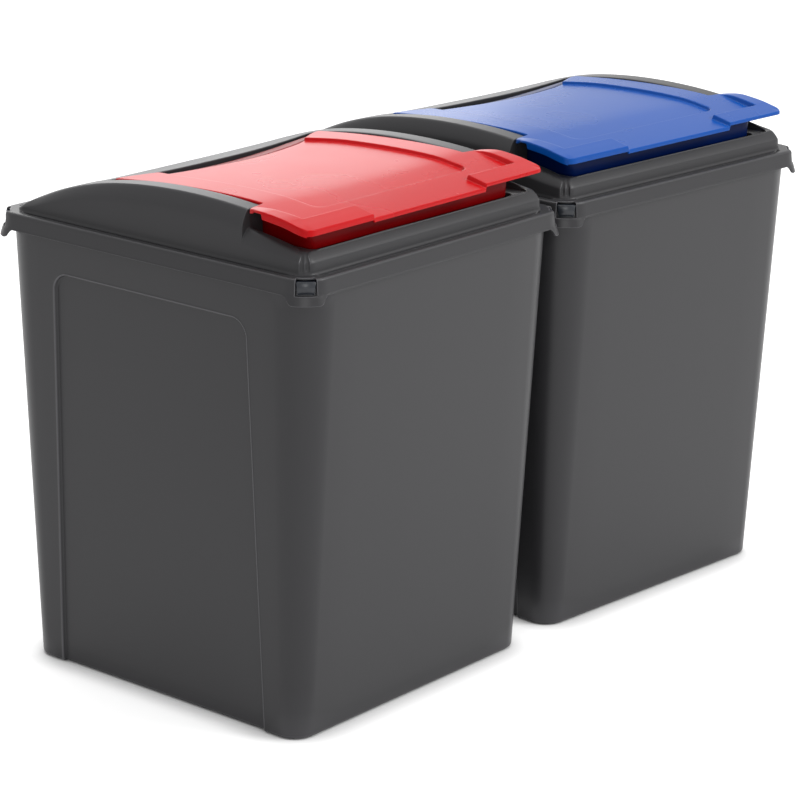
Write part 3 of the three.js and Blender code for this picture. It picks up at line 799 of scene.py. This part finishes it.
def plastic(name, colour, roughness, specular, grain, bump, edge=0.0):
    """Moulded plastic: a base colour with faint clouding, a painted highlight that lightens sharp edges, and
    a fine moulded grain.
    """
    material = bpy.data.materials.new(name)
    material.use_nodes = True
    nodes, links = material.node_tree.nodes, material.node_tree.links
    shader = nodes["Principled BSDF"]
    shader.inputs["IOR"].default_value = 1.5
    shader.inputs["Specular IOR Level"].default_value = specular
    place = nodes.new("ShaderNodeTexCoord")
    cloud = nodes.new("ShaderNodeTexNoise")
    cloud.inputs["Scale"].default_value = 9.0
    cloud.inputs["Detail"].default_value = 4.0
    links.new(place.outputs["Object"], cloud.inputs["Vector"])
    ramp = nodes.new("ShaderNodeValToRGB")
    ramp.color_ramp.elements[0].color = (*[c * (1 - CLOUD_CONTRAST) for c in colour], 1.0)
    ramp.color_ramp.elements[1].color = (*[min(c * (1 + CLOUD_CONTRAST), 1.0) for c in colour], 1.0)
    links.new(cloud.outputs["Fac"], ramp.inputs["Fac"])
    # Painted highlight: along sharp edges, found by their pointiness, the colour is lightened towards
    # several times the base colour, standing in for the edges' glints.
    geometry = nodes.new("ShaderNodeNewGeometry")
    highlight_share = nodes.new("ShaderNodeMapRange")
    highlight_share.inputs["From Min"].default_value, highlight_share.inputs["From Max"].default_value = EDGE_HIGHLIGHT_POINTINESS
    highlight_share.inputs["To Max"].default_value = edge
    links.new(geometry.outputs["Pointiness"], highlight_share.inputs["Value"])
    highlighted = nodes.new("ShaderNodeMix")
    highlighted.data_type = "RGBA"
    highlighted.inputs[MIX_B].default_value = (*[min(c * EDGE_HIGHLIGHT_GAIN, 1.0) for c in colour], 1.0)
    links.new(highlight_share.outputs["Result"], highlighted.inputs[MIX_FACTOR])
    links.new(ramp.outputs["Color"], highlighted.inputs[MIX_A])
    links.new(highlighted.outputs[MIX_RESULT], shader.inputs["Base Color"])
    fine = nodes.new("ShaderNodeTexNoise")
    fine.inputs["Scale"].default_value = grain
    fine.inputs["Detail"].default_value = 2.0
    links.new(place.outputs["Object"], fine.inputs["Vector"])
    spread_node = nodes.new("ShaderNodeMapRange")
    spread_node.inputs["To Min"].default_value = roughness - ROUGHNESS_SPREAD
    spread_node.inputs["To Max"].default_value = roughness + ROUGHNESS_SPREAD
    links.new(cloud.outputs["Fac"], spread_node.inputs["Value"])
    links.new(spread_node.outputs["Result"], shader.inputs["Roughness"])
    relief = nodes.new("ShaderNodeBump")
    relief.inputs["Strength"].default_value = bump
    relief.inputs["Distance"].default_value = 0.0002
    links.new(fine.outputs["Fac"], relief.inputs["Height"])
    links.new(relief.outputs["Normal"], shader.inputs["Normal"])
    return material


# Grey of the tub and the lid; edge=0.9 paints a highlight along their sharp edges.
GREY = plastic("grey_plastic", (0.034, 0.0335, 0.036), 0.36, 0.28, 900.0, 0.25, edge=0.9)
# The tub's lugs are the same moulding as the tub, painted darker and bluer as shade for the lid's corner
# windows they stand in.
LUG_SHADE_GREY = plastic("grey_plastic_lugs_painted_shade", (0.012, 0.015, 0.021), 0.3, 0.5, 900.0, 0.25)
FLAP_LOOKS = {
    "red": plastic("red_plastic", (0.54, 0.0012, 0.004), 0.28, 0.15, 700.0, 0.03),
    "blue": plastic("blue_plastic", (0.0012, 0.072, 0.36), 0.28, 0.15, 700.0, 0.03),
}
# The tray wall and the apron: a darker copy of the flap's colour, painted shade for where they lie under the
# lid
UNDER_SHADE_LOOKS = {
    "red": plastic("red_plastic_under_painted_shade", (0.24, 0.0006, 0.002), 0.35, 0.1, 700.0, 0.03),
    "blue": plastic("blue_plastic_under_painted_shade", (0.0006, 0.012, 0.090), 0.35, 0.1, 700.0, 0.03),
}

# ---------------------------------------------------------------- the two bins


def dress(piece, body, nodes, material):
    """Gives a piece its material and its body, and hides the CAD nodes that it takes the place of."""
    piece.data.materials.append(material)
    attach(piece, body)
    if nodes:
        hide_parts(*nodes)


for colour in ("red", "blue"):
    low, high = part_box(f"{colour}_bin_tub")
    middle = Vector(((low[0] + high[0]) / 2, (low[1] + high[1]) / 2, 0.0))
    centre = Matrix.Translation(middle) @ Matrix.Rotation(math.radians(TURN[colour]), 4, "Z")
    shell, lugs = build_tub(f"{colour}_tub_shell", centre)
    dress(shell, f"{colour}_tub_body", [f"{colour}_bin_tub"], GREY)
    dress(lugs, f"{colour}_tub_body", [], LUG_SHADE_GREY)
    lid = build_lid(f"{colour}_lid_shell", centre)
    dress(lid, f"{colour}_lid_body", [f"{colour}_bin_lid_frame"], GREY)
    for k, part in enumerate(build_flap(f"{colour}_flap_shell", centre)):
        nodes = [f"{colour}_bin_flap"] if k == 0 else []
        # The tray wall and the apron take the darker copy, painted shade; the top and the pins take the
        # flap's own colour.
        look = UNDER_SHADE_LOOKS[colour] if k in (1, 2) else FLAP_LOOKS[colour]
        dress(part, f"{colour}_flap_body", nodes, look)

# ---------------------------------------------------------------- floor, light and camera


FLOOR_HALF = 12.0
FLOOR_DROP = 0.0004
FLOOR_GLOW = 0.62  # added to what the camera sees of the floor, so that it shows white outside the shadow
SHADE_REACH = 0.04  # the added white fades within this distance of the bins' feet, a painted contact shadow
WORLD_STRENGTH = 0.45


def backdrop_rays(nodes, links):
    """1 for the rays that see the backdrop: camera, glossy and transmission rays."""
    rays = nodes.new("ShaderNodeLightPath")
    result = rays.outputs["Is Camera Ray"]
    for kind in ("Is Glossy Ray", "Is Transmission Ray"):
        either = nodes.new("ShaderNodeMath")
        either.operation = "MAXIMUM"
        links.new(result, either.inputs[0])
        links.new(rays.outputs[kind], either.inputs[1])
        result = either.outputs[0]
    return result


def white_floor():
    """A white floor that keeps the bins' shadow from the lamps but shows white to the camera elsewhere, with
    a painted contact shadow where the added white fades near the bins' feet.
    """
    mesh = bpy.data.meshes.new("floor")
    size = FLOOR_HALF
    corners = [(-size, -size, 0), (size, -size, 0), (size, size, 0), (-size, size, 0)]
    mesh.from_pydata(corners, [], [(0, 1, 2, 3)])
    floor = bpy.data.objects.new("floor", mesh)
    floor.location.z = -FLOOR_DROP
    bpy.context.scene.collection.objects.link(floor)
    material = bpy.data.materials.new("floor_white")
    material.use_nodes = True
    nodes, links = material.node_tree.nodes, material.node_tree.links
    nodes.remove(nodes["Principled BSDF"])
    # Painted contact shadow: the added white fades where ambient occlusion finds the bins close by.
    near = nodes.new("ShaderNodeAmbientOcclusion")
    near.inputs["Distance"].default_value = SHADE_REACH
    near.samples = 8
    glow = nodes.new("ShaderNodeMapRange")
    glow.inputs["From Min"].default_value = 0.4
    glow.inputs["From Max"].default_value = 0.9
    glow.inputs["To Max"].default_value = FLOOR_GLOW
    links.new(near.outputs["AO"], glow.inputs["Value"])
    shown = nodes.new("ShaderNodeMath")
    shown.operation = "MULTIPLY"
    links.new(glow.outputs["Result"], shown.inputs[0])
    links.new(backdrop_rays(nodes, links), shown.inputs[1])
    diffuse = nodes.new("ShaderNodeBsdfDiffuse")
    diffuse.inputs["Color"].default_value = (0.8, 0.8, 0.8, 1.0)
    emission = nodes.new("ShaderNodeEmission")
    links.new(shown.outputs[0], emission.inputs["Strength"])
    both = nodes.new("ShaderNodeAddShader")
    links.new(diffuse.outputs[0], both.inputs[0])
    links.new(emission.outputs[0], both.inputs[1])
    links.new(both.outputs[0], nodes["Material Output"].inputs["Surface"])
    mesh.materials.append(material)


def white_world():
    """Even white light, at full strength where it is seen as the backdrop."""
    world = bpy.data.worlds.new("studio")
    bpy.context.scene.world = world
    world.use_nodes = True
    nodes, links = world.node_tree.nodes, world.node_tree.links
    background = nodes["Background"]
    background.inputs["Color"].default_value = (1.0, 1.0, 1.0, 1.0)
    strength = nodes.new("ShaderNodeMapRange")
    strength.inputs["To Min"].default_value = WORLD_STRENGTH
    strength.inputs["To Max"].default_value = 1.0
    links.new(backdrop_rays(nodes, links), strength.inputs["Value"])
    links.new(strength.outputs["Result"], background.inputs["Strength"])


def soft_lamp(name, place, target, size, power):
    """A rectangular area lamp at place that faces target."""
    data = bpy.data.lights.new(name, "AREA")
    data.shape = "RECTANGLE"
    data.size, data.size_y = size
    data.energy = power
    lamp = bpy.data.objects.new(name, data)
    lamp.location = place
    aim = Vector(target) - Vector(place)
    lamp.rotation_euler = aim.to_track_quat("-Z", "Y").to_euler()
    bpy.context.scene.collection.objects.link(lamp)


def photo_camera():
    """The camera, fitted to the straight edges of both bins in the photograph."""
    yaw, pitch, roll = 0.8855651, 0.2998640, 0.0175648
    place = (-2.38651, -1.92416, 1.16071)
    focal_px, width_px = 3126.42, 800.0
    forward = Vector((math.sin(yaw) * math.cos(pitch), math.cos(yaw) * math.cos(pitch), -math.sin(pitch)))
    level = Vector((math.cos(yaw), -math.sin(yaw), 0.0))
    upright = level.cross(forward)
    right = level * math.cos(roll) + upright * math.sin(roll)
    up = upright * math.cos(roll) - level * math.sin(roll)
    data = bpy.data.cameras.new("photo_camera")
    data.sensor_width = 36.0
    data.sensor_fit = "HORIZONTAL"
    data.lens = focal_px * data.sensor_width / width_px
    data.clip_end = 50.0
    camera = bpy.data.objects.new("photo_camera", data)
    turn = Matrix((right, up, -forward)).transposed()
    camera.matrix_world = Matrix.Translation(place) @ turn.to_4x4()
    bpy.context.scene.collection.objects.link(camera)
    bpy.context.scene.camera = camera


white_floor()
white_world()
soft_lamp("key", (1.6, -3.0, 2.4), (0.0, 0.0, 0.25), (1.8, 1.8), 76.0)
soft_lamp("fill", (-2.6, -2.4, 1.3), (0.0, 0.0, 0.25), (1.4, 1.4), 18.0)
soft_lamp("top", (0.3, 0.4, 3.0), (0.0, 0.0, 0.3), (2.5, 2.5), 45.0)
soft_lamp("back", (2.2, 3.4, 1.5), (0.0, 0.0, 0.45), (3.0, 1.7), 23.0)
photo_camera()
bpy.context.scene.view_settings.view_transform = "Standard"
